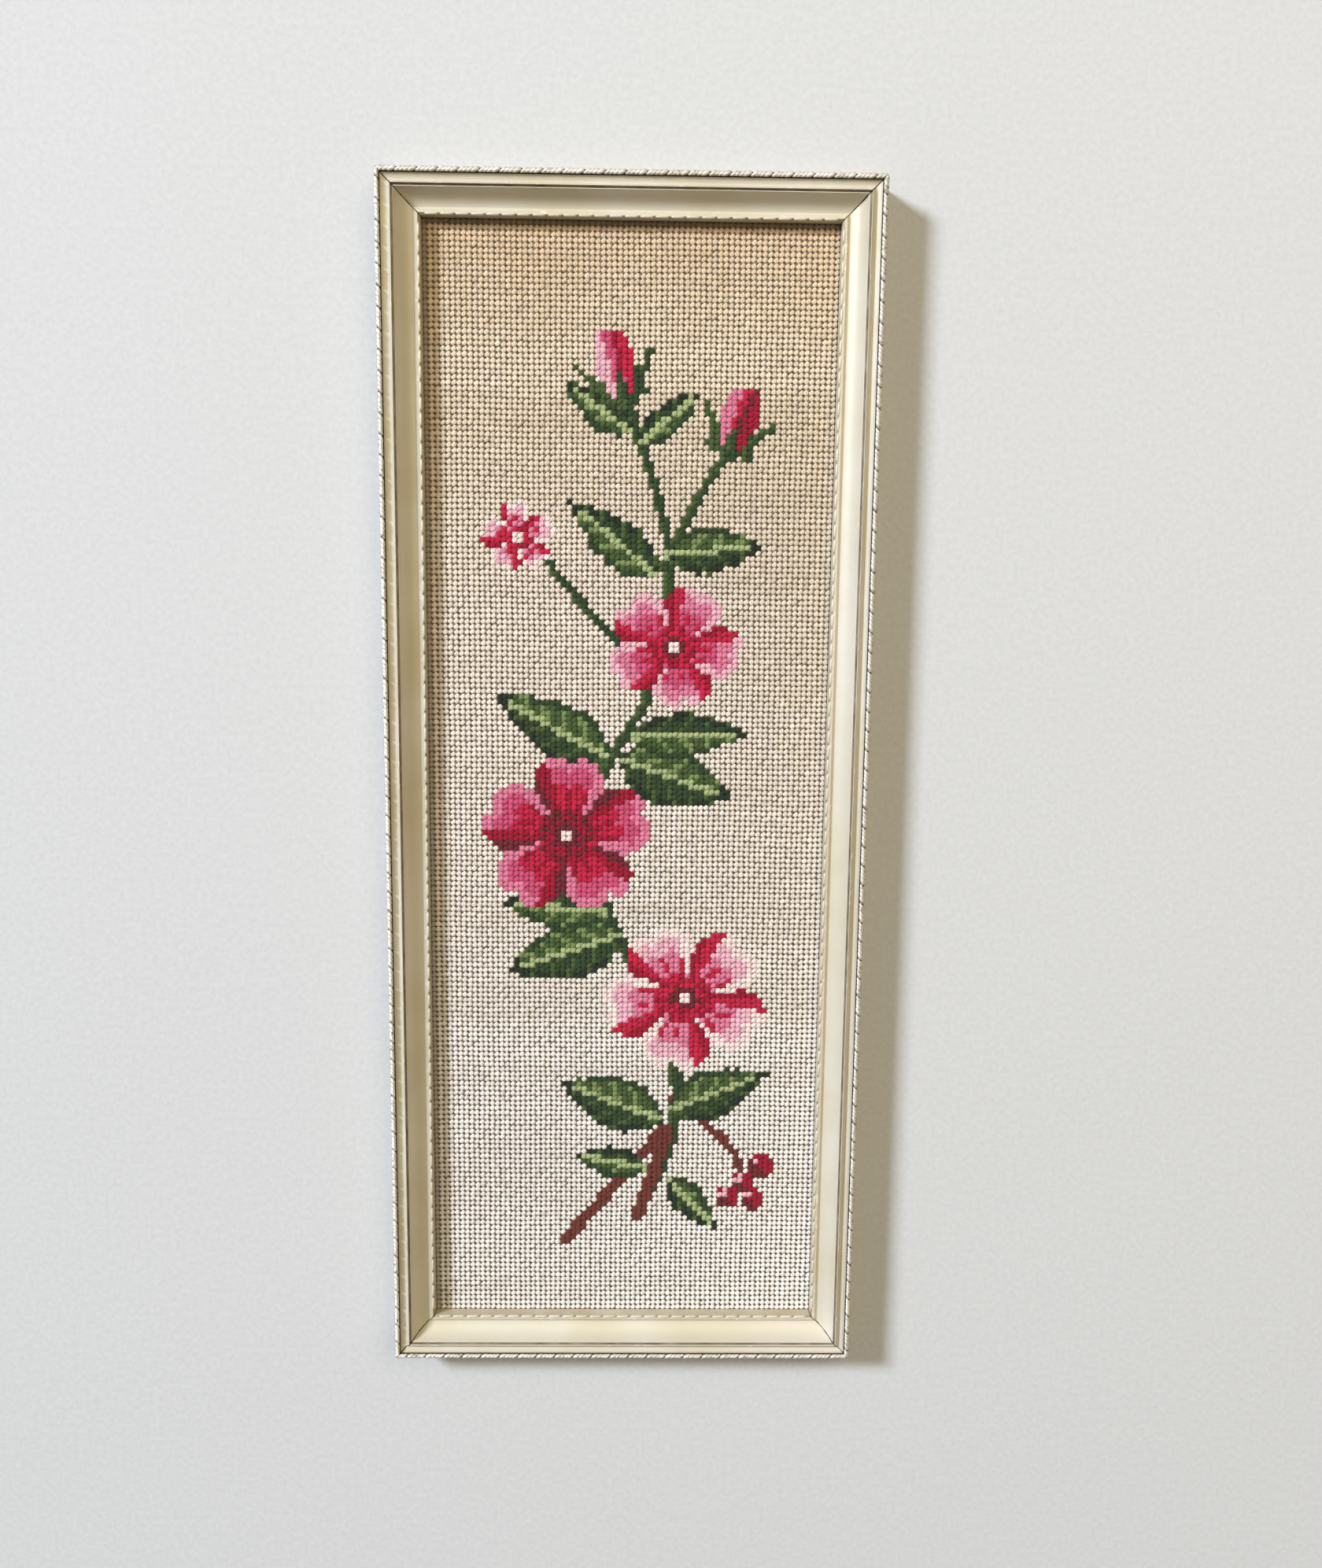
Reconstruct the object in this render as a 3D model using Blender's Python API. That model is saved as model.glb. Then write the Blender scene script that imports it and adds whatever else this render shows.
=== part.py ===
# Needlepoint canvas panel in a moulded picture frame, lying on its back with its face up.
# The origin is the middle of the frame's back. +Y is the top of the picture and +Z is its face.
# Lengths are written in millimetres and multiplied by MM where a mesh is made.
import math

import bmesh
import bpy
from mathutils import Vector

MM = 0.001
GAP = 0.3  # between pieces that touch

# The canvas: ten stitches to the inch, and the stitches that show inside the frame.
STITCH = 2.54
STITCHES_ACROSS = 75
STITCH_ROWS = 209
CANVAS_THICK = 2.0

# The moulding's section. Each point is (inwards from its outermost line, up from its back).
MOULDING_WIDTH = 19.0
REBATE_WIDTH = 6.0
REBATE_DEPTH = 5.4
SIDE_FOOT = (1.2, 0.0)
SIDE_HEAD = (1.2, 17.4)
BEADING = ((0.5, 18.2), (0.0, 20.0), (1.75, 21.1), (2.8, 18.95))
CHANNEL = ((2.9, 18.95), (5.3, 18.3))
RIDGE = ((6.65, 20.0), (7.2, 20.0))
QUIRK = ((7.4, 18.75), (8.3, 18.75))
COVE_START = (8.65, 19.4)
COVE_END = (16.1, 11.2)
COVE_SAG = 1.6
COVE_STEPS = 9
LIP_HEIGHT = 12.0
LIP_START = 17.1
LIP_ROUND = 0.4

# The beading: slanted lobes, two to each repeat of the ornament.
LOBE = 4.45
LOBE_SLANT = 0.45  # how far a cut between lobes runs along the rail for each unit inwards
LOBE_DIP = 0.75
LOBE_WAIST = 0.3
LOBE_END_MARGIN = 3.2  # plain beading next to each mitre
SAME_LINE = 0.001

SIGHT_WIDTH = STITCHES_ACROSS * STITCH
SIGHT_HEIGHT = STITCH_ROWS * STITCH
FRAME_WIDTH = SIGHT_WIDTH + 2 * MOULDING_WIDTH
FRAME_HEIGHT = SIGHT_HEIGHT + 2 * MOULDING_WIDTH
MITRE_SETBACK = GAP / 2 * math.sqrt(2)  # along the rail, for half of the gap across the mitre

PAINT = (0.62, 0.53, 0.37)
WOOL = (0.74, 0.64, 0.50)


def arc(start, end, sag, steps):
    """Points from start to end on the round arc that hangs sag below their chord."""
    start, end = Vector(start), Vector(end)
    chord = end - start
    down = Vector((chord.y, -chord.x)).normalized()
    radius = (chord.length**2 / 4 + sag**2) / (2 * sag)
    centre = (start + end) / 2 + down * (sag - radius)
    half_angle = math.asin(chord.length / 2 / radius)
    points = []
    for i in range(steps + 1):
        turn = half_angle * (2 * i / steps - 1)
        points.append(centre + radius * (down * math.cos(turn) + chord.normalized() * math.sin(turn)))
    return points


def moulding_section():
    """The rail's section, in order round it."""
    rebate_side = MOULDING_WIDTH - REBATE_WIDTH
    return [
        SIDE_FOOT,
        SIDE_HEAD,
        *BEADING,
        *CHANNEL,
        *RIDGE,
        *QUIRK,
        *arc(COVE_START, COVE_END, COVE_SAG, COVE_STEPS),
        (LIP_START, LIP_HEIGHT),
        (MOULDING_WIDTH - LIP_ROUND, LIP_HEIGHT),
        (MOULDING_WIDTH, LIP_HEIGHT - LIP_ROUND),
        (MOULDING_WIDTH, REBATE_DEPTH),
        (rebate_side, REBATE_DEPTH),
        (rebate_side, 0.0),
    ]


def painted(name, colour, roughness, metallic):
    material = bpy.data.materials.new(name)
    material.use_nodes = True
    shader = material.node_tree.nodes["Principled BSDF"]
    shader.inputs["Base Color"].default_value = (*colour, 1.0)
    shader.inputs["Roughness"].default_value = roughness
    shader.inputs["Metallic"].default_value = metallic
    return material


def add_object(name, bm, material):
    mesh = bpy.data.meshes.new(name)
    bm.to_mesh(mesh)
    bm.free()
    mesh.materials.append(material)
    obj = bpy.data.objects.new(name, mesh)
    bpy.context.collection.objects.link(obj)
    return obj


def mitred_bar(length):
    """A plain bar of the moulding along X, mitred at both ends, with its outer side at y = 0."""
    bm = bmesh.new()
    section = bm.faces.new([bm.verts.new((-length / 2, inwards, up)) for inwards, up in moulding_section()])
    swept = bmesh.ops.extrude_face_region(bm, geom=[section])
    for element in swept["geom"]:
        if isinstance(element, bmesh.types.BMVert):
            element.co.x = length / 2
    for vert in bm.verts:
        vert.co.x -= math.copysign(vert.co.y + MITRE_SETBACK, vert.co.x)
    bmesh.ops.recalc_face_normals(bm, faces=bm.faces)
    return bm


def lies_on(vert, points):
    """Whether the vertex is on one of the section's lines through these points."""
    return any((vert.co.yz - Vector(point)).length < SAME_LINE for point in points)


def cut_lobes(bm, length):
    """Cuts the beading across on a slant at even steps and pulls every second cut in, which leaves lobes."""
    half_lobes = 2 * int((length / 2 - LOBE_END_MARGIN) * 2 / LOBE)
    reach = half_lobes / 2 * LOBE / 2
    for i in range(half_lobes + 1):
        faces = [f for f in bm.faces if len(f.verts) == 4 and all(lies_on(v, BEADING) for v in f.verts)]
        edges = {edge for face in faces for edge in face.edges}
        verts = {vert for face in faces for vert in face.verts}
        bmesh.ops.bisect_plane(
            bm,
            geom=[*verts, *edges, *faces],
            plane_co=(i * LOBE / 2 - reach, 0.0, 0.0),
            plane_no=(1.0, -LOBE_SLANT, 0.0),
        )
    outer_crest, inner_crest = BEADING[1:3]
    for vert in bm.verts:
        along = vert.co.x - vert.co.y * LOBE_SLANT
        on_dip = round((along + reach) / (LOBE / 2)) % 2 == 0 and abs(along) < reach + LOBE / 8
        if on_dip and lies_on(vert, (outer_crest, inner_crest)):
            outer_half = lies_on(vert, (outer_crest,))
            vert.co.y += LOBE_WAIST if outer_half else -LOBE_WAIST
            vert.co.z -= LOBE_DIP


def make_rail(name, length, place, turn, material):
    bm = mitred_bar(length)
    cut_lobes(bm, length)
    bmesh.ops.scale(bm, vec=(MM, MM, MM), verts=bm.verts)
    rail = add_object(name, bm, material)
    rail.location = (place[0] * MM, place[1] * MM, 0.0)
    rail.rotation_euler = (0.0, 0.0, math.radians(turn))
    return rail


def make_canvas(material):
    """The stitched canvas, cut to lie in the rebate just under its ledge."""
    width = SIGHT_WIDTH + 2 * (REBATE_WIDTH - GAP)
    height = SIGHT_HEIGHT + 2 * (REBATE_WIDTH - GAP)
    bm = bmesh.new()
    bmesh.ops.create_cube(bm, size=1.0)
    bmesh.ops.scale(bm, vec=(width * MM, height * MM, CANVAS_THICK * MM), verts=bm.verts)
    canvas = add_object("canvas", bm, material)
    canvas.location = (0.0, 0.0, (REBATE_DEPTH - GAP - CANVAS_THICK / 2) * MM)
    return canvas


for obj in list(bpy.data.objects):
    bpy.data.objects.remove(obj)

make_rail("rail_bottom", FRAME_WIDTH, (0.0, -FRAME_HEIGHT / 2), 0, painted("bottom paint", PAINT, 0.4, 0.3))
make_rail("rail_right", FRAME_HEIGHT, (FRAME_WIDTH / 2, 0.0), 90, painted("right paint", PAINT, 0.4, 0.3))
make_rail("rail_top", FRAME_WIDTH, (0.0, FRAME_HEIGHT / 2), 180, painted("top paint", PAINT, 0.4, 0.3))
make_rail("rail_left", FRAME_HEIGHT, (-FRAME_WIDTH / 2, 0.0), 270, painted("left paint", PAINT, 0.4, 0.3))
make_canvas(painted("wool", WOOL, 0.9, 0.0))
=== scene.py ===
# Needlepoint canvas panel in a moulded picture frame: the finish of every surface.
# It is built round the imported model, which lies on its back: +Y is the top of the picture, +Z its face.
# The dictionaries are in millimetres.
import math

import bpy
import numpy as np
from mathutils import Matrix, Vector


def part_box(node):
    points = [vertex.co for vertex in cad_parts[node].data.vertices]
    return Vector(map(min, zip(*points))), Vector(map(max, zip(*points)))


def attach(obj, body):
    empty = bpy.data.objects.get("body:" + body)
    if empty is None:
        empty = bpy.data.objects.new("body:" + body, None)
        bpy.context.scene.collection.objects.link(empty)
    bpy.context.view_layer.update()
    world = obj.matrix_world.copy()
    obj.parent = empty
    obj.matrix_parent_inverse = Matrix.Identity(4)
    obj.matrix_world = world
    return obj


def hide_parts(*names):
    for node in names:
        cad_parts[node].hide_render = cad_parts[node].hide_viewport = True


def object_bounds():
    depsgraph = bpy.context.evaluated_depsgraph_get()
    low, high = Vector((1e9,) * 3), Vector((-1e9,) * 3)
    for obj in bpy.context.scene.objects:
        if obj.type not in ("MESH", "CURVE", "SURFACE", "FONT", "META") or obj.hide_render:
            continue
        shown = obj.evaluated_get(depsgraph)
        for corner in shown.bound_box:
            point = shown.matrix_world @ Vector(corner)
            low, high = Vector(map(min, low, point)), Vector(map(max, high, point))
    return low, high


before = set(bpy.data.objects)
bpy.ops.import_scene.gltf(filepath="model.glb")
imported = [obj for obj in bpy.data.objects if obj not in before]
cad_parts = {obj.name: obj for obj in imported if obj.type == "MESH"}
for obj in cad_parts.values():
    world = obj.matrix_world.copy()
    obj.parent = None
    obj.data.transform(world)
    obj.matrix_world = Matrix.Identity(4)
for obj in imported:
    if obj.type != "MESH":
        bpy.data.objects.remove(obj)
cadLow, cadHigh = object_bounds()
mm = 0.001
draws = np.random.default_rng(27)  # every random draw comes from here, in order


# Small helpers for modelling by operators

def deselectAll():
    if bpy.context.mode != "OBJECT":
        bpy.ops.object.mode_set(mode="OBJECT")
    bpy.ops.object.select_all(action="DESELECT")


def pick(obj):
    deselectAll()
    obj.select_set(True)
    bpy.context.view_layer.objects.active = obj


def editAll(obj):
    pick(obj)
    bpy.ops.object.mode_set(mode="EDIT")
    bpy.ops.mesh.select_all(action="SELECT")


def finishEdit():
    bpy.ops.mesh.select_all(action="SELECT")
    bpy.ops.mesh.normals_make_consistent(inside=False)
    bpy.ops.object.mode_set(mode="OBJECT")


def applyPlace(obj):
    pick(obj)
    bpy.ops.object.transform_apply(location=True, rotation=True, scale=True)


def joinInto(first, others):
    deselectAll()
    for obj in (first, *others):
        obj.select_set(True)
    bpy.context.view_layer.objects.active = first
    bpy.ops.object.join()
    return first


def meshPlaces(mesh):
    places = np.empty(len(mesh.vertices) * 3)
    mesh.vertices.foreach_get("co", places)
    return places.reshape(-1, 3)


def linear(colour):
    # from 0 to 255, as seen on a screen, to the shader's own scale
    return ((np.asarray(colour) / 255 + 0.055) / 1.055) ** 2.4


# Materials

def newMaterial(name, roughness, metallic=0.0):
    material = bpy.data.materials.new(name)
    material.use_nodes = True
    shader = material.node_tree.nodes["Principled BSDF"]
    shader.inputs["Roughness"].default_value = roughness
    shader.inputs["Metallic"].default_value = metallic
    return material, shader


def addNode(material, kind, inputs=(), **settings):
    tree = material.node_tree
    node = tree.nodes.new("ShaderNode" + kind)
    for name, value in settings.items():
        setattr(node, name, value)
    for name, value in dict(inputs).items():
        if isinstance(value, bpy.types.NodeSocket):
            tree.links.new(value, node.inputs[name])
        else:
            node.inputs[name].default_value = value
    return node


def objectPlace(material, stretch=(1, 1, 1), turn=0.0):
    coords = addNode(material, "TexCoord").outputs["Object"]
    settings = {"Vector": coords, "Scale": stretch, "Rotation": (0, 0, math.radians(turn))}
    return addNode(material, "Mapping", settings).outputs["Vector"]


def noiseOf(material, place, grain, detail=3.0):
    # grain is the size of one blot, in millimetres
    settings = {"Vector": place, "Scale": 1 / (grain * mm), "Detail": detail}
    return addNode(material, "TexNoise", settings).outputs["Fac"]


def spread(material, value, low, high, toLow=0.0, toHigh=1.0):
    settings = {"Value": value, "From Min": low, "From Max": high, "To Min": toLow, "To Max": toHigh}
    return addNode(material, "MapRange", settings).outputs["Result"]


def mixed(material, share, first, second, blend="MIX"):
    node = addNode(material, "Mix", data_type="RGBA", blend_type=blend)
    for socket, value in ((0, share), (6, first), (7, second)):
        if isinstance(value, bpy.types.NodeSocket):
            material.node_tree.links.new(value, node.inputs[socket])
        elif socket:
            node.inputs[socket].default_value = (*value, 1.0)
        else:
            node.inputs[socket].default_value = value
    return node.outputs[2]


def maths(material, operation, *values):
    return addNode(material, "Math", dict(enumerate(values)), operation=operation).outputs[0]


def attribute(material, name, output):
    return addNode(material, "Attribute", attribute_name=name).outputs[output]


def addBump(material, shader, height, depth, strength=1.0):
    bump = addNode(material, "Bump", {"Height": height, "Distance": depth * mm, "Strength": strength})
    before = shader.inputs["Normal"].links
    if before:
        material.node_tree.links.new(before[0].from_socket, bump.inputs["Normal"])
    material.node_tree.links.new(bump.outputs["Normal"], shader.inputs["Normal"])


def setLink(material, shader, socket, value):
    material.node_tree.links.new(value, shader.inputs[socket])


paintTones = {
    "gold": (0.66, 0.618, 0.515),
    "goldDeep": (0.60, 0.55, 0.41),
    # dark for dirt and painted shade in the hollows, and for the mitres
    "grimeAndShade": (0.10, 0.075, 0.045),
    "chip": (0.80, 0.76, 0.68),
    "silver": (0.84, 0.81, 0.75),
    "patina": (0.035, 0.027, 0.020),
    "edge": (0.48, 0.40, 0.27),
}
woodTones = ((0.52, 0.37, 0.21), (0.36, 0.23, 0.12))
mitreDirt = {
    "full": 0.22,  # this far from the line where two rails meet
    "gone": 0.42,
    "share": 0.9,
}
paintGrains = {  # the size of one blot
    "mitre": 3.0,
    "tint": 38.0,
    "speck": 1.1,
    "rub": 4.5,
    # the blots of dirt and painted shade in the hollows
    "dirtAndShade": 9.0,
    "sheen": 6.0,
    "wave": 12.0,
    "pit": 0.7,
    "edgeTint": 24.0,
    "scuff": 2.5,
}


def nearMitre(material, place):
    # 1 on the lines where the rails meet, 0 beside them
    apart = addNode(material, "SeparateXYZ", {0: place})
    across = maths(material, "ABSOLUTE", apart.outputs["X"])
    up = maths(material, "ABSOLUTE", apart.outputs["Y"])
    away = maths(material, "ADD", maths(material, "SUBTRACT", across, up), cadHigh.y - cadHigh.x)
    wide = spread(material, noiseOf(material, place, paintGrains["mitre"]), 0.3, 0.7, 0.6, 1.4)
    away = maths(material, "DIVIDE", maths(material, "ABSOLUTE", away), wide)
    return spread(material, away, mitreDirt["full"] * mm, mitreDirt["gone"] * mm, mitreDirt["share"], 0.0)


def champagnePaint():
    material, shader = newMaterial("champagnePaint", 0.55, 0.15)
    shader.inputs["Specular IOR Level"].default_value = 0.35
    place = objectPlace(material)
    grains = paintGrains
    blots = spread(material, noiseOf(material, place, grains["tint"]), 0.35, 0.68)
    body = mixed(material, blots, paintTones["gold"], paintTones["goldDeep"])
    specks = spread(material, noiseOf(material, place, grains["speck"], 2.0), 0.60, 0.74, 0.0, 0.35)
    body = mixed(material, specks, body, paintTones["goldDeep"])
    rubs = spread(material, noiseOf(material, place, grains["rub"], 5.0), 0.60, 0.66)
    rubs = maths(material, "MULTIPLY", attribute(material, "rub", "Fac"), rubs)
    body = mixed(material, rubs, body, paintTones["chip"])
    # dirt and painted shade, darkest in the hollows of the section
    dirtAndShade = spread(material, noiseOf(material, place, grains["dirtAndShade"], 4.0), 0.2, 0.7, 0.55, 1.0)
    dirtAndShade = maths(material, "MULTIPLY", attribute(material, "hollowDirtAndShade", "Fac"), dirtAndShade)
    body = mixed(material, dirtAndShade, body, paintTones["grimeAndShade"])
    body = mixed(material, nearMitre(material, place), body, paintTones["grimeAndShade"])
    setLink(material, shader, "Base Color", body)
    sheen = spread(material, noiseOf(material, place, grains["sheen"]), 0.3, 0.7, 0.44, 0.54)
    setLink(material, shader, "Roughness", sheen)
    addBump(material, shader, noiseOf(material, place, grains["wave"], 2.0), 0.12)
    addBump(material, shader, noiseOf(material, place, grains["pit"], 3.0), 0.012)
    return material


def beadingSilver():
    material, shader = newMaterial("beadingSilver", 0.42, 0.25)
    place = objectPlace(material)
    height = addNode(material, "SeparateXYZ", {0: place}).outputs["Z"]
    crest = spread(material, height, beading["darkBelow"] * mm, beading["silverAbove"] * mm)
    tone = mixed(material, spread(material, noiseOf(material, place, 7.0), 0.35, 0.7),
                 paintTones["silver"], paintTones["gold"])
    worn = spread(material, noiseOf(material, place, 2.2, 4.0), 0.22, 0.42)
    worn = maths(material, "MULTIPLY", crest, worn)
    setLink(material, shader, "Base Color", mixed(material, worn, paintTones["patina"], tone))
    addBump(material, shader, noiseOf(material, place, 0.5, 3.0), 0.03)
    return material


def darkGroove():
    material, shader = newMaterial("darkGroove", 0.75)
    place = objectPlace(material)
    tone = mixed(material, spread(material, noiseOf(material, place, 5.0), 0.3, 0.7),
                 paintTones["patina"], paintTones["grimeAndShade"])
    setLink(material, shader, "Base Color", tone)
    addBump(material, shader, noiseOf(material, place, 0.8), 0.03)
    return material


def edgePaint():
    material, shader = newMaterial("edgePaint", 0.5, 0.2)
    place = objectPlace(material)
    blots = spread(material, noiseOf(material, place, paintGrains["edgeTint"], 4.0), 0.3, 0.7)
    tone = mixed(material, blots, paintTones["edge"], paintTones["goldDeep"])
    scuffs = noiseOf(material, place, paintGrains["scuff"], 6.0)
    scuffs = spread(material, scuffs, 0.64, 0.70, 0.0, 0.4)
    setLink(material, shader, "Base Color", mixed(material, scuffs, tone, paintTones["chip"]))
    addBump(material, shader, noiseOf(material, place, 1.5), 0.04)
    return material


def bareWood(name, turn):
    material, shader = newMaterial(name, 0.8)
    place = objectPlace(material, (0.06, 1, 1), turn)
    grain = spread(material, noiseOf(material, place, 1.6, 5.0), 0.3, 0.7)
    tone = mixed(material, grain, *woodTones)
    setLink(material, shader, "Base Color", tone)
    addBump(material, shader, grain, 0.06)
    return material


# The moulding, as points of its section (inwards, up, finish up to the next point, dirt and painted shade in
# the hollows, wear)

moulding = {
    "width": 19.0,
    "gap": 0.3,  # left open at each mitre
    "edgeFoot": (1.2, 0.0),
    "edgeHead": (1.2, 17.4),
    "bed": ((0.6, 18.3), (0.6, 19.3), (2.2, 19.1)),  # under the beading
    "crevice": (2.6, 18.4),
    "channel": ((2.85, 18.75), (5.55, 17.8), 0.1, 5),  # from, to, sag, steps
    "channelDirtAndShade": 0.55,  # dirt and painted shade, where it starts
    "ridgeSide": ((5.75, 17.85), (6.9, 19.5)),
    "ridge": ((7.1, 19.73), (7.25, 19.78), (7.35, 19.65)),
    "quirk": ((7.45, 18.5), (8.1, 18.35)),
    "coveHead": ((8.35, 18.55), (8.5, 18.55)),
    "cove": ((8.65, 18.4), (16.0, 11.0), 1.5, 18),
    "lipSlope": ((16.25, 11.1), (16.95, 11.9)),
    "lip": ((17.25, 12.15), (18.35, 12.15)),
    "lipEdge": ((18.55, 11.75), (19.2, 11.45)),
    "sightFoot": (19.25, 5.4),
    "rebateSide": 13.0,
    "smoothUpTo": 38,  # degrees from face to face
}
finishes = ("paint", "groove", "edge", "wood")


def arcPoints(start, end, sag, steps):
    start, end = Vector(start), Vector(end)
    chord = end - start
    down = Vector((chord.y, -chord.x)).normalized()
    radius = (chord.length**2 / 4 + sag**2) / (2 * sag)
    centre = (start + end) / 2 + down * (sag - radius)
    half = math.asin(chord.length / 2 / radius)
    turns = [half * (2 * i / steps - 1) for i in range(steps + 1)]
    return [centre + radius * (down * math.cos(a) + chord.normalized() * math.sin(a)) for a in turns]


def mouldingOutline():
    m = moulding
    channel = arcPoints(*m["channel"])
    dirtAndShade = [m["channelDirtAndShade"] * (1 - i / (len(channel) - 1)) ** 3 for i in range(len(channel))]
    outline = [(*m["edgeFoot"], "edge", 0, 0), (*m["edgeHead"], "groove", 0, 0)]
    outline += [(*point, "groove", 0, 0) for point in (*m["bed"], m["crevice"])]
    outline += [(*point, "paint", share, 0) for point, share in zip(channel, dirtAndShade)]
    outline += [(*point, "paint", 0, 0.3) for point in m["ridgeSide"]]
    outline += [(*point, "paint", 0, 1) for point in m["ridge"]]
    # the quirk and the sight edge are darkened with dirt and painted shade
    outline += [(*point, "paint", 0.95, 0) for point in m["quirk"]]
    outline += [(*point, "paint", 0, 0.8) for point in m["coveHead"]]
    outline += [(*point, "paint", 0, 0) for point in arcPoints(*m["cove"])]
    outline += [(*point, "paint", 0, 0.3) for point in m["lipSlope"]]
    outline += [(*point, "paint", 0, 0.7) for point in m["lip"]]
    outline += [(*m["lipEdge"][0], "paint", 0.8, 0), (*m["lipEdge"][1], "edge", 0.8, 0)]
    outline += [(*m["sightFoot"], "wood", 1, 0), (m["rebateSide"], m["sightFoot"][1], "wood", 0, 0)]
    outline += [(m["rebateSide"], 0.0, "wood", 0, 0)]
    return outline


def nearestPoint(points, place):
    return int(np.argmin(np.hypot(points[:, 0] - place[0], points[:, 1] - place[1])))


def cutMitres(obj, length):
    setback = moulding["gap"] / 2 * math.sqrt(2)
    editAll(obj)
    for end in (-1, 1):
        bpy.ops.mesh.select_all(action="SELECT")
        bpy.ops.mesh.bisect(
            plane_co=(end * (length / 2 - setback) * mm, 0, 0), plane_no=(end, 1, 0),
            use_fill=True, clear_outer=True,
        )
    finishEdit()


def mouldedRail(name, length, materials):
    outline = mouldingOutline()
    deselectAll()
    bpy.ops.mesh.primitive_circle_add(vertices=len(outline), radius=length * mm, fill_type="NGON")
    rail = bpy.context.object
    rail.name = name
    for vert, point in zip(rail.data.vertices, outline):
        vert.co = (-length / 2 * mm, point[0] * mm, point[1] * mm)
    editAll(rail)
    bpy.ops.mesh.extrude_region_move(TRANSFORM_OT_translate={"value": (length * mm, 0, 0)})
    cutMitres(rail, length)

    corners = np.array([point[:2] for point in outline]) * mm
    middles = (corners + np.roll(corners, -1, axis=0)) / 2
    for material in materials:
        rail.data.materials.append(material)
    for face in rail.data.polygons:
        finish = "groove"
        if abs(face.normal.x) < 0.1:
            finish = outline[nearestPoint(middles, face.center[1:])][2]
        face.material_index = finishes.index(finish)
    # dirt and painted shade in the hollows, and wear on the crests, for each point
    for kind, column in (("hollowDirtAndShade", 3), ("rub", 4)):
        layer = rail.data.attributes.new(kind, "FLOAT", "POINT")
        for vert in rail.data.vertices:
            layer.data[vert.index].value = outline[nearestPoint(corners, vert.co[1:])][column]
    pick(rail)
    bpy.ops.object.shade_smooth_by_angle(angle=math.radians(moulding["smoothUpTo"]))
    return rail


# The beading along the outer rim: four slanted lobes to each repeat

beading = {
    "repeat": 9.25,
    "crest": 1.75,  # in from the outermost line
    "foot": 19.3,
    "slant": 0.7,  # how far each lobe leans along the rail for each unit inwards
    "lobes": (  # along the rail, half length, half width, height
        (-0.05, 1.7, 1.75, 1.78),
        (2.15, 1.5, 1.65, 1.68),
        (4.1, 1.45, 1.6, 1.64),
        (5.85, 1.5, 1.7, 1.74),
    ),
    "faces": (8, 6),  # round each lobe, and from end to end
    "innerShare": 0.48,  # of the width, from the crest inwards
    "gable": 0.4,  # how soon the outer side falls away, towards 0
    "fuller": 0.74,  # than an egg at both ends, towards 0
    "worn": (0.0, 0.35),  # how much lower the crest is, from least to most
    "wornStep": 2.3,
    "darkBelow": 19.1,
    "silverAbove": 19.8,
}


def roundBead(along, size, inwards, up, slant, segments, rings, fuller):
    deselectAll()
    bpy.ops.mesh.primitive_uv_sphere_add(
        segments=segments, ring_count=rings, radius=1.0, rotation=(math.pi / 2, math.pi / segments, 0),
    )
    bead = bpy.context.object
    applyPlace(bead)
    for vert in bead.data.vertices:
        vert.co.x = math.copysign(abs(vert.co.x) ** fuller, vert.co.x)
        vert.co.z /= math.cos(math.pi / segments)
    bead.scale = [length * mm for length in size]
    bead.location = (along * mm, inwards * mm, up * mm)
    applyPlace(bead)
    for vert in bead.data.vertices:
        vert.co.x += (vert.co.y - inwards * mm) * slant
    bpy.ops.object.shade_smooth()
    return bead


def repeatAlong(strip, count, step):
    array = strip.modifiers.new("repeats", "ARRAY")
    array.count = count
    array.use_relative_offset = False
    array.use_constant_offset = True
    array.constant_offset_displace = (step * mm, 0, 0)
    pick(strip)
    bpy.ops.object.modifier_apply(modifier="repeats")
    strip.location.x = -(count - 1) * step / 2 * mm
    applyPlace(strip)


def beadedStrip(name, length, material):
    b = beading
    pieces = []
    for along, *size in b["lobes"]:
        lobe = roundBead(along, size, b["crest"], b["foot"], b["slant"], *b["faces"], b["fuller"])
        for vert in lobe.data.vertices:
            across = (vert.co.y / mm - b["crest"]) / size[1]
            if across > 0:
                vert.co.y -= across * size[1] * (1 - b["innerShare"]) * mm
            elif across > -0.99:
                lower = ((1 + across) / (1 - across)) ** b["gable"]
                vert.co.z = b["foot"] * mm + (vert.co.z - b["foot"] * mm) * lower
        pieces.append(lobe)
    strip = joinInto(pieces[0], pieces[1:])
    strip.name = name
    repeatAlong(strip, math.ceil(length / b["repeat"]) + 1, b["repeat"])
    knots = np.arange(-length / 2 - b["repeat"], length / 2 + b["repeat"], b["wornStep"])
    worn = draws.uniform(*b["worn"], len(knots))
    for vert in strip.data.vertices:
        above = max(vert.co.z / mm - b["foot"], 0)
        vert.co.z -= np.interp(vert.co.x / mm, knots, worn) * above / b["lobes"][0][3] * mm
    cutMitres(strip, length)
    strip.data.materials.append(material)
    return strip


# The low lobes along the sight edge

sightLobes = {
    "repeat": 6.9,
    "centre": 18.62,
    "up": 11.65,
    "size": (3.3, 0.7, 0.75),  # half length, half width, height
    "faces": (8, 7),
    "fuller": 0.6,
}


def lobedEdge(name, length, material):
    s = sightLobes
    count = int((length - 2 * moulding["width"]) / s["repeat"])
    row = roundBead(0.0, s["size"], s["centre"], s["up"], 0.0, *s["faces"], s["fuller"])
    row.name = name
    repeatAlong(row, count, s["repeat"])
    cutMitres(row, length)
    row.data.materials.append(material)
    return row


def placeRail(piece, place, turn):
    piece.matrix_world = Matrix.Translation(place) @ Matrix.Rotation(math.radians(turn), 4, "Z")
    applyPlace(piece)
    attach(piece, "root")


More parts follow.
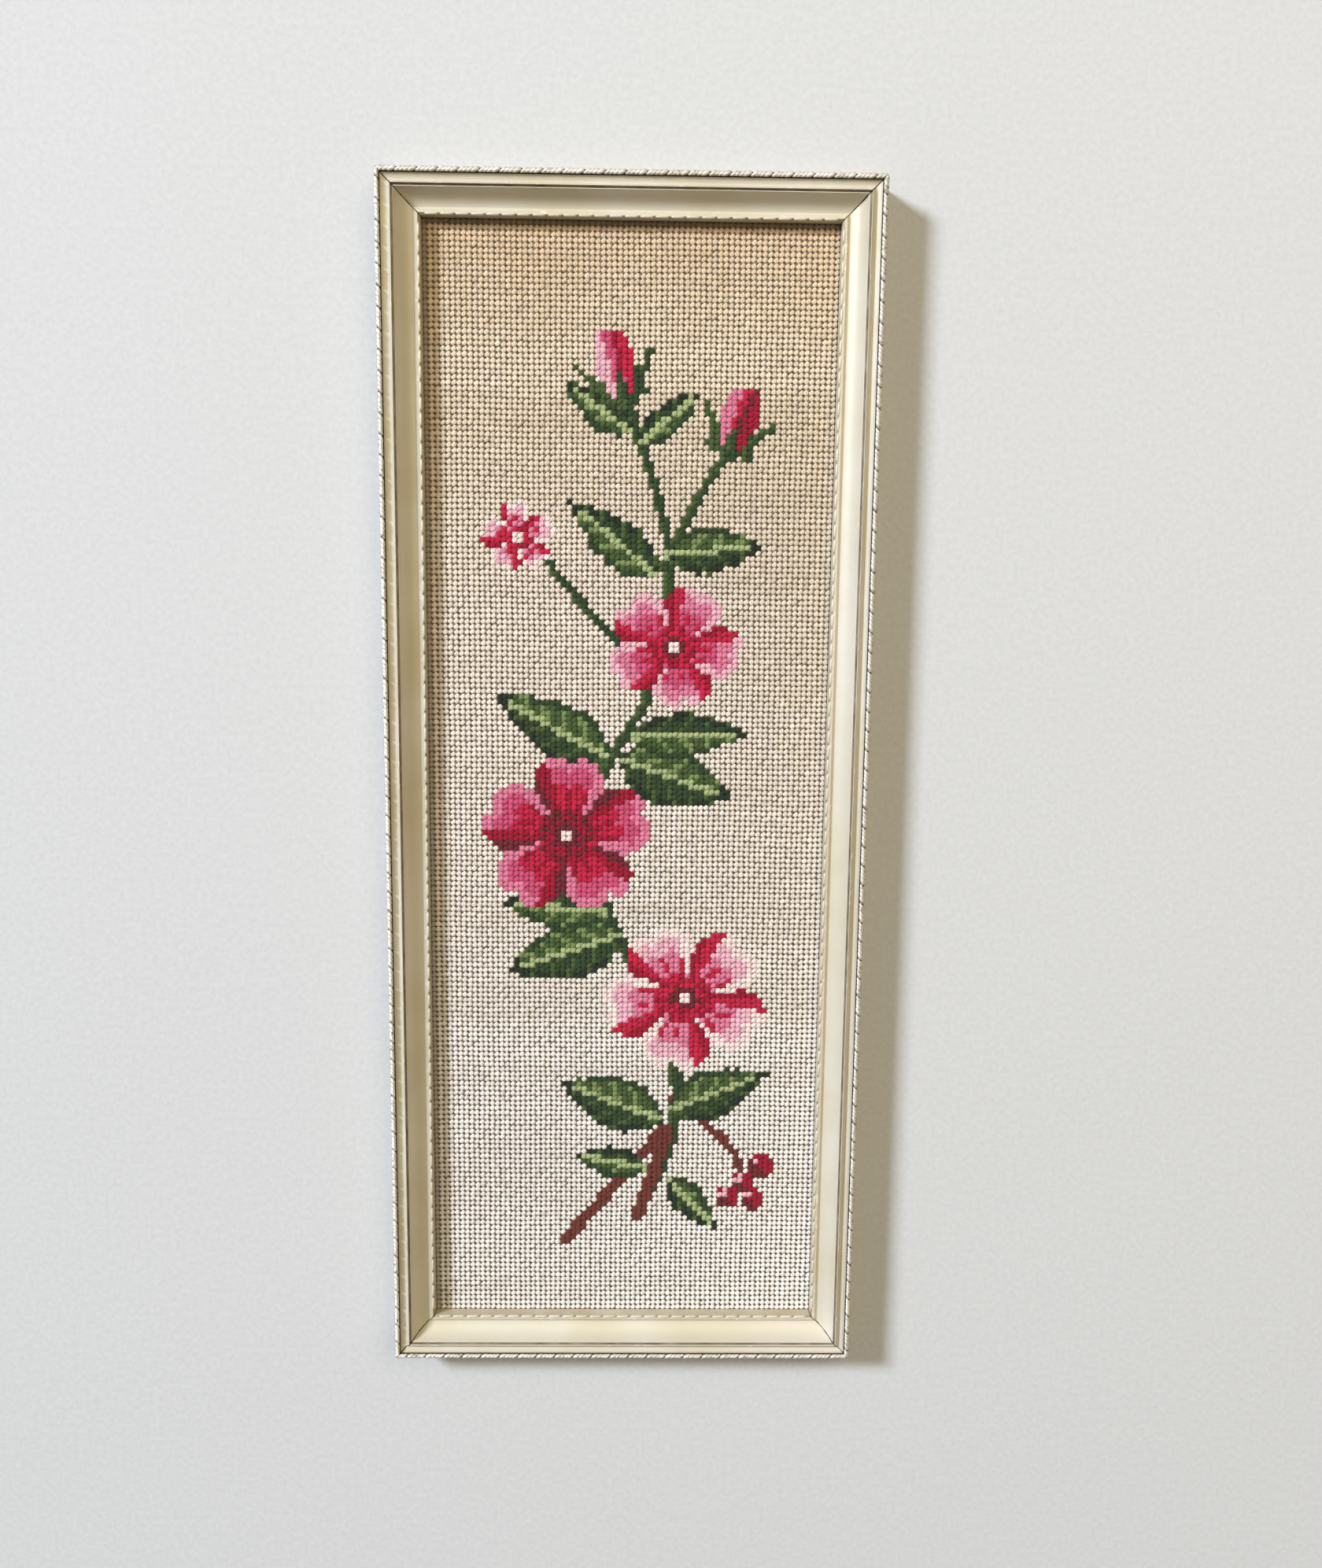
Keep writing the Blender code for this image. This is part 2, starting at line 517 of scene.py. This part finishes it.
rails = {  # the side it is on, and how far round it is turned
    "rail_bottom": (Vector((0, -1)), 0),
    "rail_right": (Vector((1, 0)), 90),
    "rail_top": (Vector((0, 1)), 180),
    "rail_left": (Vector((-1, 0)), 270),
}
paint = champagnePaint()
silver = beadingSilver()
groove = darkGroove()
edge = edgePaint()
for node, (side, turn) in rails.items():
    low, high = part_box(node)
    upright = side.x != 0
    length = (high.y - low.y if upright else high.x - low.x) / mm
    length += math.sqrt(2) * moulding["gap"]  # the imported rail's mitres are set back
    reach = (max(high.x, -low.x) if upright else max(high.y, -low.y))
    place = (side.x * reach, side.y * reach, 0)
    wood = bareWood("railWood_" + node, 90 if upright else 0)
    name = node.replace("rail_", "")
    rail = mouldedRail("moulding_" + name, length, (paint, groove, edge, wood))
    placeRail(rail, place, turn)
    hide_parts(node)
    placeRail(beadedStrip("beading_" + name, length, silver), place, turn)
    placeRail(lobedEdge("sightLobes_" + name, length, paint), place, turn)
    print("rail", name, round(length, 2), "mm")


# The stitches' chart, one number of yarn to each stitch, counted from the bottom left

stitching = {
    "pitch": 2.54,  # ten to the inch
    "across": 75,
    "rows": 209,
    "section": (  # from its top round to below
        (0.0, 1.0), (0.52, 0.93), (0.92, 0.68), (1.05, 0.1), (0.0, -0.35),
    ),
    "blunt": (0.58, 0.89),  # how far along it is still nearly full, and how full
    "tip": 0.97,
    "width": 1.07,  # that 1 of the section stands for
    "crown": 0.52,
    "groundHoleShade": 0.82,  # painted shade: of its colour, lost towards the holes
    "motifHoleShade": 0.42,
    "length": 1.0,  # of the way from hole to hole
    "hole": 0.08,  # how unevenly the holes lie
    "foot": 0.12,  # below the face of the canvas
    "sink": 0.55,  # of each end, into its hole
    "widthVaries": 0.055,
    "crownVaries": 0.10,
    "leanVaries": 0.10,
    "placeVaries": 0.05,
    "toneVaries": 0.022,
    "lowestShade": 0.62,  # painted shade: the share of its colour left where it goes under
    "holeShadeFrom": 0.6,  # where the painted shade towards the holes starts, of the way to its tip
    "groundPieces": 4,
}
yarns = {  # as seen by daylight, from 0 to 255
    "ground": (236, 222, 196),
    "leafDark": (33, 48, 31),
    "leafDeep": (46, 68, 38),
    "leafMid": (68, 91, 46),
    "leafLight": (120, 140, 84),
    "leafPale": (166, 182, 128),
    "bark": (112, 52, 42),
    "maroon": (110, 34, 44),
    "crimson": (160, 6, 46),
    "scarlet": (196, 24, 64),
    "deepPink": (206, 78, 118),
    "pink": (222, 124, 156),
    "blush": (238, 182, 198),
    "petalWhite": (250, 226, 222),
}
yarnNames = list(yarns)
leafYarns = ("leafDark", "leafDeep", "leafMid", "leafLight", "leafPale", "bark")
groundTones = {  # height up the picture, and the colour there, tan at the top and near white at the bottom
    0.0: (245, 243, 240),
    0.2: (235, 230, 225),
    0.7: (232, 220, 206),
    0.9: (230, 214, 190),
    1.0: (220, 194, 160),
}
rightTints = {  # height up the picture, and what the right side adds to it
    0.0: (10, 10, 10),
    0.7: (-12, -14, -20),
    1.0: (5, 5, 5),
}
groundWool = {
    "bands": (4, 12, 2.6),  # rows worked alike, least and most, and how unlike the bands are
    "runs": (9, 34, 1.9),  # the same along each row
    "unevenTint": (1.0, 1.15, 1.5),
    "edgeShade": 0.3,  # painted shade, lost beside the left and top rails
    "warmerFrom": 0.45,  # of the width, towards the right
}
cols, rows = np.meshgrid(np.arange(stitching["across"]) + 0.5, np.arange(stitching["rows"]) + 0.5)
chart = np.zeros(cols.shape, dtype=int)


# In the shapes below, distances are in stitches, and shares are of a shape's own length, width or radius.

def fillShape(inside, name):
    chart[inside] = yarnNames.index(name)


def curvePoints(knots, steps=24):
    # a smooth line through all of the knots
    knots = [np.array(k, dtype=float) for k in knots]
    knots = [2 * knots[0] - knots[1], *knots, 2 * knots[-1] - knots[-2]]
    line = []
    for a, b, c, d in zip(knots, knots[1:], knots[2:], knots[3:]):
        for t in np.arange(steps) / steps:
            bend = (2 * a - 5 * b + 4 * c - d) * t**2 + (3 * b - a - 3 * c + d) * t**3
            line.append(0.5 * (2 * b + (c - a) * t + bend))
    return line


def alongAcross(base, tip):
    # each stitch's place along the line from base to tip, from 0 to 1, and its distance to the left of it
    base, tip = np.array(base, dtype=float), np.array(tip, dtype=float)
    length = np.hypot(*(tip - base))
    east, north = (tip - base) / length
    along = ((cols - base[0]) * east + (rows - base[1]) * north) / length
    return along, (rows - base[1]) * east - (cols - base[0]) * north, length


def chartStem(knots, width, light, dark, taper=0.3):
    line = curvePoints(knots)
    for i, (x, y) in enumerate(line):
        inside = np.hypot(cols - x, rows - y) < width / 2 * (1 - taper * i / len(line))
        fillShape(inside, dark)
        fillShape(inside & (cols - x < -0.15 * width), light)


def chartLeaf(base, tip, width, lit=1):
    along, side, length = alongAcross(base, tip)
    side = side * lit
    edge = width / 2 * np.sin(math.pi * np.clip(along, 0, 1) ** 0.72) - 0.4 * (along * length / 2.6 % 1)
    inside = (along > 0) & (along < 1) & (abs(side) < edge)
    vein = (along * length - 0.8 * abs(side)) % 4.2
    fillShape(inside, "leafDeep")
    fillShape(inside & (side > 0), "leafMid")
    fillShape(inside & (side > 0) & (vein < 1.5), "leafLight")
    fillShape(inside & (side < 0) & (abs(side) > edge - 1.3), "leafDark")
    fillShape(inside & (side < -1) & (vein < 1.1), "leafMid")
    fillShape(inside & (side > edge - 1.1) & (along < 0.75), "leafDeep")
    fillShape(inside & (abs(side) < 0.6) & (along < 0.86), "leafPale")
    fillShape(inside & (along > 0.86), "leafDark")


def chartMallow(centre, radius, turn, squash, tones):
    # five petals, each with one side under its neighbour
    deep, dark, mid, light, rim = tones
    dx, dy = cols - centre[0], (rows - centre[1]) / squash
    petal = ((np.arctan2(dy, dx) + turn) * 5 / math.tau) % 1 - 0.5
    notch = 0.10 * np.exp(-((petal / 0.07) ** 2))
    out = np.hypot(dx, dy) / (radius * (1 - 0.30 * abs(2 * petal) ** 2.6 - notch))
    vein = abs((petal * 3.2 + 10.5) % 1 - 0.5)
    inside = out < 1
    fillShape(inside, mid)
    fillShape(inside & (out > 0.66), light)
    fillShape(inside & (out > 0.86) & (abs(petal) < 0.34), rim)
    fillShape(inside & (petal > 0.22) & (out > 0.3), dark)
    fillShape(inside & (petal > 0.37) & (out > 0.25), deep)
    fillShape(inside & (petal < -0.33) & (out > 0.45), rim)
    fillShape(inside & (out < 0.62) & (vein < 0.16), dark)
    fillShape(inside & (out < 0.36), dark)
    fillShape(inside & (out < 0.36) & (vein < 0.2), deep)
    fillShape(inside & (out < 0.17), "maroon")
    fillShape(np.hypot(dx, dy) < 1.5, "petalWhite")


def chartBud(base, tip, width, tones):
    deep, dark, mid, light = tones
    along, side, length = alongAcross(base, tip)
    edge = width / 2 * np.sqrt(np.clip(along * (1.05 - along) * 4, 0, 1))
    inside = (along > 0) & (along < 1) & (abs(side) < edge)
    fillShape(inside, mid)
    fillShape(inside & (side > 0.12 * width), light)
    fillShape(inside & (side < -0.14 * width), dark)
    fillShape(inside & (abs(side + 0.30 * width * (along - 0.3)) < 0.5), deep)
    cup = inside & (along < 0.34 + 0.16 * np.cos(side * math.tau / (width * 0.5)))
    fillShape(cup, "leafMid")
    fillShape(cup & (side < 0), "leafDeep")
    base, tip = np.array(base, dtype=float), np.array(tip, dtype=float)
    forward = (tip - base) / length
    across = np.array([-forward[1], forward[0]]) * width
    for hand, shaded in ((-1, "leafDeep"), (1, "leafMid")):
        root = base + forward * length * 0.32 + hand * across * 0.5
        end = base + forward * length * 0.66 + hand * across * 0.95
        chartStem([root - forward * 2, root, end], 1.9, "leafMid", shaded, 0.4)


def chartBerry(x, y, radius=2.3):
    away = np.hypot(cols - x, rows - y)
    fillShape(away < radius, "crimson")
    fillShape((away < radius) & (cols - x + rows - y < -0.8), "maroon")
    fillShape(np.hypot(cols - x + 0.9, rows - y - 0.9) < 0.8, "blush")


def chartDesign():
    mainStem = [(40, 20), (47, 38), (46, 58), (34, 82), (31, 104), (42, 126), (45, 150), (37, 178)]
    chartStem(mainStem, 2.6, "leafMid", "leafDeep", 0.35)
    chartStem([(26, 15), (36, 27), (45, 38)], 2.4, "bark", "bark", 0.1)
    chartStem([(40, 20), (43, 28), (46, 38)], 2.6, "bark", "bark", 0.0)
    chartStem([(44, 148), (50, 160), (55, 168)], 1.8, "leafMid", "leafDeep", 0.2)
    chartStem([(41, 128), (28, 142), (20, 152)], 1.8, "leafMid", "leafDeep", 0.2)
    chartStem([(47, 44), (57, 36), (61, 29)], 1.7, "bark", "bark", 0.2)
    leaves = (
        ((46, 42), (66, 50), 10, 1), ((45, 40), (24, 48), 11, -1), ((37, 78), (14, 70), 12, -1),
        ((34, 82), (13, 84), 9, 1), ((36, 112), (58, 104), 12, 1), ((38, 116), (61, 117), 9, -1),
        ((34, 112), (12, 124), 11, -1), ((43, 146), (26, 160), 9, 1), ((44, 150), (63, 152), 9, 1),
        ((38, 172), (25, 181), 7, 1), ((39, 170), (51, 180), 6, -1), ((42, 30), (27, 33), 7, 1),
        ((46, 28), (56, 17), 7, 1),
    )
    for leaf in leaves:
        chartLeaf(*leaf)
    red = ("maroon", "crimson", "scarlet", "deepPink", "pink")
    pale = ("crimson", "scarlet", "pink", "blush", "petalWhite")
    warm = ("crimson", "scarlet", "deepPink", "pink", "blush")
    chartMallow((26, 97), 16.5, 0.35, 0.94, red)
    chartMallow((49, 65), 16.5, 1.10, 0.92, pale)
    chartMallow((46, 133), 13.0, 0.75, 0.90, warm)
    chartMallow((17, 153), 7.0, 0.2, 0.95, pale)
    chartBud((37, 176), (33, 190), 7.5, ("crimson", "scarlet", "deepPink", "blush"))
    chartBud((55, 167), (59, 180), 7.0, ("maroon", "crimson", "scarlet", "pink"))
    for berry in ((61, 27), (64.5, 30.5), (58, 24), (63, 23.5)):
        chartBerry(*berry)


def stepNoise(count, low, high, size):
    # random steps along one line, each from low to high stitches long
    line = []
    while len(line) < count:
        line += [draws.normal(0, size)] * int(draws.integers(low, high))
    return np.array(line[:count])


def betweenTones(tones, height):
    stops = np.array(sorted(tones))
    return np.stack([np.interp(height, stops, [tones[s][i] for s in stops]) for i in range(3)], -1)


def groundColours():
    height = rows / stitching["rows"]
    wander = 0.012 * np.sin(cols / 9) + 0.008 * np.sin(cols / 4 + 2)
    tone = betweenTones(groundTones, height + wander)
    towardsRight = np.clip((cols / stitching["across"] - groundWool["warmerFrom"]) / 0.5, 0, 1)[..., None]
    tone += towardsRight * betweenTones(rightTints, height)
    # painted shade along the first column and row, beside the left and top rails
    shadedEdge = np.minimum(cols - 0.5, stitching["rows"] - 0.5 - rows)[..., None]
    tone *= 1 - groundWool["edgeShade"] * np.clip(1 - shadedEdge / 0.8, 0, 1)
    bands = stepNoise(stitching["rows"], *groundWool["bands"])
    bands = np.convolve(np.pad(bands, 1, "edge"), [0.25, 0.5, 0.25], "valid")
    runs = np.array([stepNoise(stitching["across"], *groundWool["runs"]) for row in range(stitching["rows"])])
    tone += (bands[:, None] + runs)[..., None] * np.array(groundWool["unevenTint"])
    return tone


def stitchColours():
    palette = np.array([yarns[name] for name in yarnNames], dtype=float)
    tone = palette[chart]
    onGround = chart == yarnNames.index("ground")
    tone[onGround] = groundColours()[onGround]
    tone *= 1 + draws.normal(0, stitching["toneVaries"], chart.shape)[..., None]
    return linear(np.clip(tone, 4, 252))


def holePlaces():
    # the holes that the stitches share, a little uneven, as a grid of points
    across, up = stitching["across"] + 1, stitching["rows"] + 1
    x, y = np.meshgrid(np.arange(across) - (across - 1) / 2, np.arange(up) - (up - 1) / 2)
    x, y = x * stitching["pitch"], y * stitching["pitch"]
    inner = np.cos(x / x.max() * math.pi / 2) * np.cos(y / y.max() * math.pi / 2)
    inner = np.minimum(inner * 6, 1)
    east = 0.22 * np.sin(y / 31 + 1) + 0.12 * np.sin(y / 9 + x / 60)
    east += draws.normal(0, stitching["hole"], x.shape)
    north = 0.20 * np.sin(x / 24) + 0.12 * np.sin(x / 8 + y / 70 + 2)
    north += draws.normal(0, stitching["hole"], x.shape)
    return x + east * inner, y + north * inner


def oneStitch():
    # one tent stitch from pole to pole along X, as wide and as high as 1
    deselectAll()
    bpy.ops.mesh.primitive_uv_sphere_add(segments=8, ring_count=4, radius=1.0)
    stitch = bpy.context.object
    editAll(stitch)
    bpy.ops.transform.rotate(value=math.radians(90), orient_axis="Y", center_override=(0, 0, 0))
    finishEdit()
    for vert in stitch.data.vertices:
        x, y, z = vert.co
        if abs(x) > 0.9:
            vert.co = (math.copysign(stitching["tip"], x), 0, 0)
            continue
        s, h = stitching["section"][round(math.atan2(abs(y), z) / math.radians(45))]
        along, full = stitching["blunt"] if abs(x) > 0.1 else (0.0, 1.0)
        vert.co = (math.copysign(along, x), math.copysign(s, y) * full, h * full)
    return stitch


def stitchBody(name, chosen, template, holes, colours, material):
    # chosen are the rows and columns of the stitches of one piece
    shape = meshPlaces(template)
    rowsOf, colsOf = chosen
    x, y = holes
    start = np.stack([x[rowsOf, colsOf], y[rowsOf, colsOf]], -1)
    end = np.stack([x[rowsOf + 1, colsOf + 1], y[rowsOf + 1, colsOf + 1]], -1)
    count = len(rowsOf)
    middle = (start + end) / 2 + draws.normal(0, stitching["placeVaries"], (count, 2))
    way = (end - start) / 2 * stitching["length"]
    across = np.stack([-way[:, 1], way[:, 0]], -1) / np.hypot(way[:, 0], way[:, 1])[:, None]
    width = stitching["width"] * draws.normal(1, stitching["widthVaries"], count)
    crown = stitching["crown"] * draws.normal(1, stitching["crownVaries"], count)
    lean = draws.normal(0, stitching["leanVaries"], count)
    t, s, h = shape[:, 0], shape[:, 1], shape[:, 2]
    bow = lean[:, None] * (1 - t**2)
    flat = middle[:, None] + t[None, :, None] * way[:, None]
    flat = flat + (s[None] * width[:, None] + bow)[..., None] * across[:, None]
    up = clothTop - stitching["foot"] + h[None] * crown[:, None] - stitching["sink"] * abs(t[None]) ** 3
    places = np.concatenate([flat, up[..., None]], -1) * mm

    corners = np.array([v for face in template.polygons for v in face.vertices])
    sizes = np.array([len(face.vertices) for face in template.polygons])
    many = (np.arange(count)[:, None] * len(shape) + corners).ravel()
    mesh = bpy.data.meshes.new(name)
    mesh.vertices.add(count * len(shape))
    mesh.vertices.foreach_set("co", places.ravel())
    mesh.loops.add(len(many))
    mesh.loops.foreach_set("vertex_index", many)
    mesh.polygons.add(count * len(sizes))
    starts = np.concatenate([[0], np.cumsum(np.tile(sizes, count))[:-1]])
    mesh.polygons.foreach_set("loop_start", starts)
    mesh.polygons.foreach_set("use_smooth", np.ones(len(starts), dtype=bool))
    mesh.update(calc_edges=True)

    # painted shade: darker down the flanks and towards the holes at each end
    shade = stitching["lowestShade"] + (1 - stitching["lowestShade"]) * np.clip((h + 0.25) / 0.9, 0, 1)
    onGround = chart[rowsOf, colsOf] == yarnNames.index("ground")
    holeShade = np.where(onGround, stitching["groundHoleShade"], stitching["motifHoleShade"])[:, None]
    towardsTip = (abs(t) - stitching["holeShadeFrom"]) / (stitching["tip"] - stitching["holeShadeFrom"])
    shade = shade * (1 - holeShade * np.clip(towardsTip, 0, 1))
    tones = colours[rowsOf, colsOf][:, None] * shade[..., None]
    tones = np.concatenate([tones, np.ones((*tones.shape[:2], 1))], -1)
    layer = mesh.color_attributes.new("wool", "FLOAT_COLOR", "POINT")
    layer.data.foreach_set("color", tones.ravel())
    yarnMap = mesh.uv_layers.new(name="yarn")
    turn = np.arctan2(h, s) / math.tau
    lay = np.stack([t * 1.8, turn * 4.0], -1)[corners]
    yarnMap.data.foreach_set("uv", np.tile(lay, (count, 1)).ravel())
    bakeMap = mesh.uv_layers.new(name="OFBake")
    low, high = flat.reshape(-1, 2).min(0), flat.reshape(-1, 2).max(0)
    share = ((flat - low) / (high - low).max()).reshape(-1, 2)[many]
    under = np.repeat([face.normal.z < -0.02 for face in template.polygons], sizes)
    under = np.tile(under, count)
    top = share[:, 1].max()
    share[under, 1] = top + 0.01 + share[under, 1] * max(0.05, (0.98 - top)) / top
    bakeMap.data.foreach_set("uv", np.clip(share, 0, 1).ravel())
    mesh.uv_layers.active = yarnMap
    piece = bpy.data.objects.new(name, mesh)
    bpy.context.collection.objects.link(piece)
    mesh.materials.append(material)
    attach(piece, "root")
    return piece


def woolYarn():
    material, shader = newMaterial("woolYarn", 0.92)
    shader.inputs["Specular IOR Level"].default_value = 0.25
    shader.inputs["Sheen Weight"].default_value = 0.22
    shader.inputs["Sheen Roughness"].default_value = 0.5
    place = objectPlace(material)
    # the yarn's colour, with the painted shade of each stitch
    yarn = attribute(material, "wool", "Color")
    fuzz = spread(material, noiseOf(material, place, 0.35, 4.0), 0.3, 0.7, 0.0, 0.30)
    setLink(material, shader, "Base Color", mixed(material, fuzz, yarn, (0.55, 0.5, 0.45), "MULTIPLY"))
    plies = addNode(material, "UVMap", uv_map="yarn").outputs["UV"]
    twist = addNode(material, "TexWave", {"Vector": plies, "Scale": 0.55, "Distortion": 0.6},
                    bands_direction="DIAGONAL").outputs["Fac"]
    addBump(material, shader, twist, 0.16, 0.8)
    addBump(material, shader, noiseOf(material, place, 0.22, 3.0), 0.06)
    return material


# The canvas that the stitches are worked on, cut to lie in the rebate

cloth = {
    "margin": 2,  # bare squares of canvas beyond the stitches, under the frame
    # the bare canvas, darkened with painted shade for the holes between the stitches
    "bareShaded": (0.16, 0.125, 0.085),
    "shadeInHoles": 0.62,  # painted shade in the holes: times the colour of the motifs' yarn
    "drop": 0.25,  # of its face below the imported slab's, for the stitches' crowns
}
clothLow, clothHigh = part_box("canvas")
clothTop = clothHigh.z / mm - cloth["drop"]


def canvasCloth(colours, material):
    across = stitching["across"] + 2 * cloth["margin"]
    up = stitching["rows"] + 2 * cloth["margin"]
    pitch = stitching["pitch"] * mm
    deselectAll()
    bpy.ops.mesh.primitive_grid_add(x_subdivisions=across, y_subdivisions=up, size=1.0)
    sheet = bpy.context.object
    sheet.name = "canvasCloth"
    sheet.scale = (across * pitch, up * pitch, 1)
    sheet.location.z = clothTop * mm
    applyPlace(sheet)
    edgeX, edgeY = across * pitch / 2 - 1e-5, up * pitch / 2 - 1e-5
    for vert in sheet.data.vertices:
        if abs(vert.co.x) > edgeX:
            vert.co.x = math.copysign(clothHigh.x, vert.co.x)
        if abs(vert.co.y) > edgeY:
            vert.co.y = math.copysign(clothHigh.y, vert.co.y)
    editAll(sheet)
    bpy.ops.mesh.extrude_region_move(TRANSFORM_OT_translate={"value": (0, 0, clothLow.z - clothTop * mm)})
    finishEdit()
    back = sheet.data.color_attributes.new("backs", "FLOAT_COLOR", "CORNER")
    for face in sheet.data.polygons:
        col = int(face.center.x / pitch + stitching["across"] / 2)
        row = int(face.center.y / pitch + stitching["rows"] / 2)
        tone = cloth["bareShaded"]
        # the holes show painted shade: dark canvas under the ground, darkened yarn under the motifs; the back
        # shows the yarn
        if 0 <= col < stitching["across"] and 0 <= row < stitching["rows"]:
            if face.normal.z < -0.5:
                tone = colours[row, col]
            elif chart[row, col] != yarnNames.index("ground"):
                tone = colours[row, col] * cloth["shadeInHoles"]
        for corner in face.loop_indices:
            back.data[corner].color = (*tone, 1.0)
    sheet.data.materials.append(material)
    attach(sheet, "root")
    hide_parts("canvas")
    return sheet


def canvasThread():
    material, shader = newMaterial("canvasThread", 0.9)
    place = objectPlace(material)
    # the canvas and the backs of the stitches, with painted shade in the holes
    tone = attribute(material, "backs", "Color")
    fuzz = spread(material, noiseOf(material, place, 0.5, 4.0), 0.3, 0.7, 0.0, 0.5)
    setLink(material, shader, "Base Color", mixed(material, fuzz, tone, (0.5, 0.45, 0.4), "MULTIPLY"))
    slanted = objectPlace(material, (1, 1, 1), 63)
    backs = addNode(material, "TexWave", {"Vector": slanted, "Scale": 138.0, "Distortion": 1.5})
    addBump(material, shader, backs.outputs["Fac"], 0.5)
    return material


chartDesign()
colours = stitchColours()
holes = holePlaces()
template = oneStitch()
sheet = canvasCloth(colours, canvasThread())
print("canvas", round(clothTop, 2), "mm up, worked share", round(float((chart > 0).mean()), 3))

wool = woolYarn()
leafMask = np.isin(chart, [yarnNames.index(name) for name in leafYarns])
groundMask = chart == yarnNames.index("ground")
bandOfRow = np.arange(stitching["rows"]) * stitching["groundPieces"] // stitching["rows"]
for band in range(stitching["groundPieces"]):
    inBand = groundMask & (bandOfRow == band)[:, None]
    name = "groundStitches_" + str(band + 1)
    stitchBody(name, np.nonzero(inBand), template.data, holes, colours, wool)
for name, mask in (("leafStitches", leafMask), ("blossomStitches", ~leafMask & ~groundMask)):
    stitchBody(name, np.nonzero(mask), template.data, holes, colours, wool)
bpy.data.objects.remove(template)
print("stitches", chart.size)


# Floor, light and camera

studio = {
    "keyFrom": (-0.694, 0.432, 0.576),
    "keyAway": 8.0,  # metres
    "keySize": 1.4,
    "keyPower": 860.0,
    "keyColour": (0.82, 0.88, 1.0),
    "overheadFrom": (0.30, 0.38, 0.87),
    "overheadAway": 2.8,
    "overheadSize": 2.2,
    "overheadPower": 43.0,
    "overheadColour": (1.0, 0.85, 0.58),
    "skyLeft": (0.86, 0.90, 1.0),
    "skyRight": (1.0, 0.80, 0.48),
    "skyStrength": 0.16,
    "floorSize": 12.0,  # metres
    "floorDrop": 0.2,
    "floorDark": (0.588, 0.602, 0.61),
    "floorPale": (0.63, 0.644, 0.652),
}
view = {
    "place": (0.00222, 0.12448, 0.71496),  # metres
    "turn": (-9.427, -1.020, 0.666),
    "focalPixels": 1900.0,
    "longSidePixels": 1993.0,
    "sensor": 36.0,
}


def paleFloor():
    deselectAll()
    bpy.ops.mesh.primitive_plane_add(size=studio["floorSize"], location=(0, 0, -studio["floorDrop"] * mm))
    floor = bpy.context.object
    floor.name = "floor"
    material, shader = newMaterial("paleFloor", 0.85)
    place = objectPlace(material)
    blots = spread(material, noiseOf(material, place, 2.5, 5.0), 0.35, 0.65)
    tone = mixed(material, blots, studio["floorDark"], studio["floorPale"])
    setLink(material, shader, "Base Color", tone)
    addBump(material, shader, noiseOf(material, place, 3.0, 3.0), 0.10)
    floor.data.materials.append(material)


def areaLight(name, direction, away, size, power, colour):
    deselectAll()
    bpy.ops.object.light_add(type="AREA", location=Vector(direction) * away)
    light = bpy.context.object
    light.name = name
    light.data.size = size
    light.data.energy = power
    light.data.color = colour
    light.rotation_euler = Vector(direction).to_track_quat("Z", "Y").to_euler()


paleFloor()
for name, kind in (("windowLight", "key"), ("overheadLight", "overhead")):
    areaLight(name, *(studio[kind + what] for what in ("From", "Away", "Size", "Power", "Colour")))
world = bpy.data.worlds.new("room")
bpy.context.scene.world = world
world.use_nodes = True
direction = addNode(world, "TexCoord").outputs["Generated"]
sideways = addNode(world, "SeparateXYZ", {0: direction}).outputs["X"]
background = world.node_tree.nodes["Background"]
sky = mixed(world, spread(world, sideways, -0.8, 0.8), studio["skyLeft"], studio["skyRight"])
setLink(world, background, "Color", sky)
background.inputs["Strength"].default_value = studio["skyStrength"]

bpy.ops.object.camera_add(location=view["place"], rotation=[math.radians(a) for a in view["turn"]])
camera = bpy.context.object
camera.data.sensor_width = view["sensor"]
camera.data.lens = view["focalPixels"] / view["longSidePixels"] * view["sensor"]
camera.data.clip_start = 0.01
bpy.context.scene.camera = camera
bpy.context.scene.view_settings.view_transform = "Standard"
print("floor, light and camera")
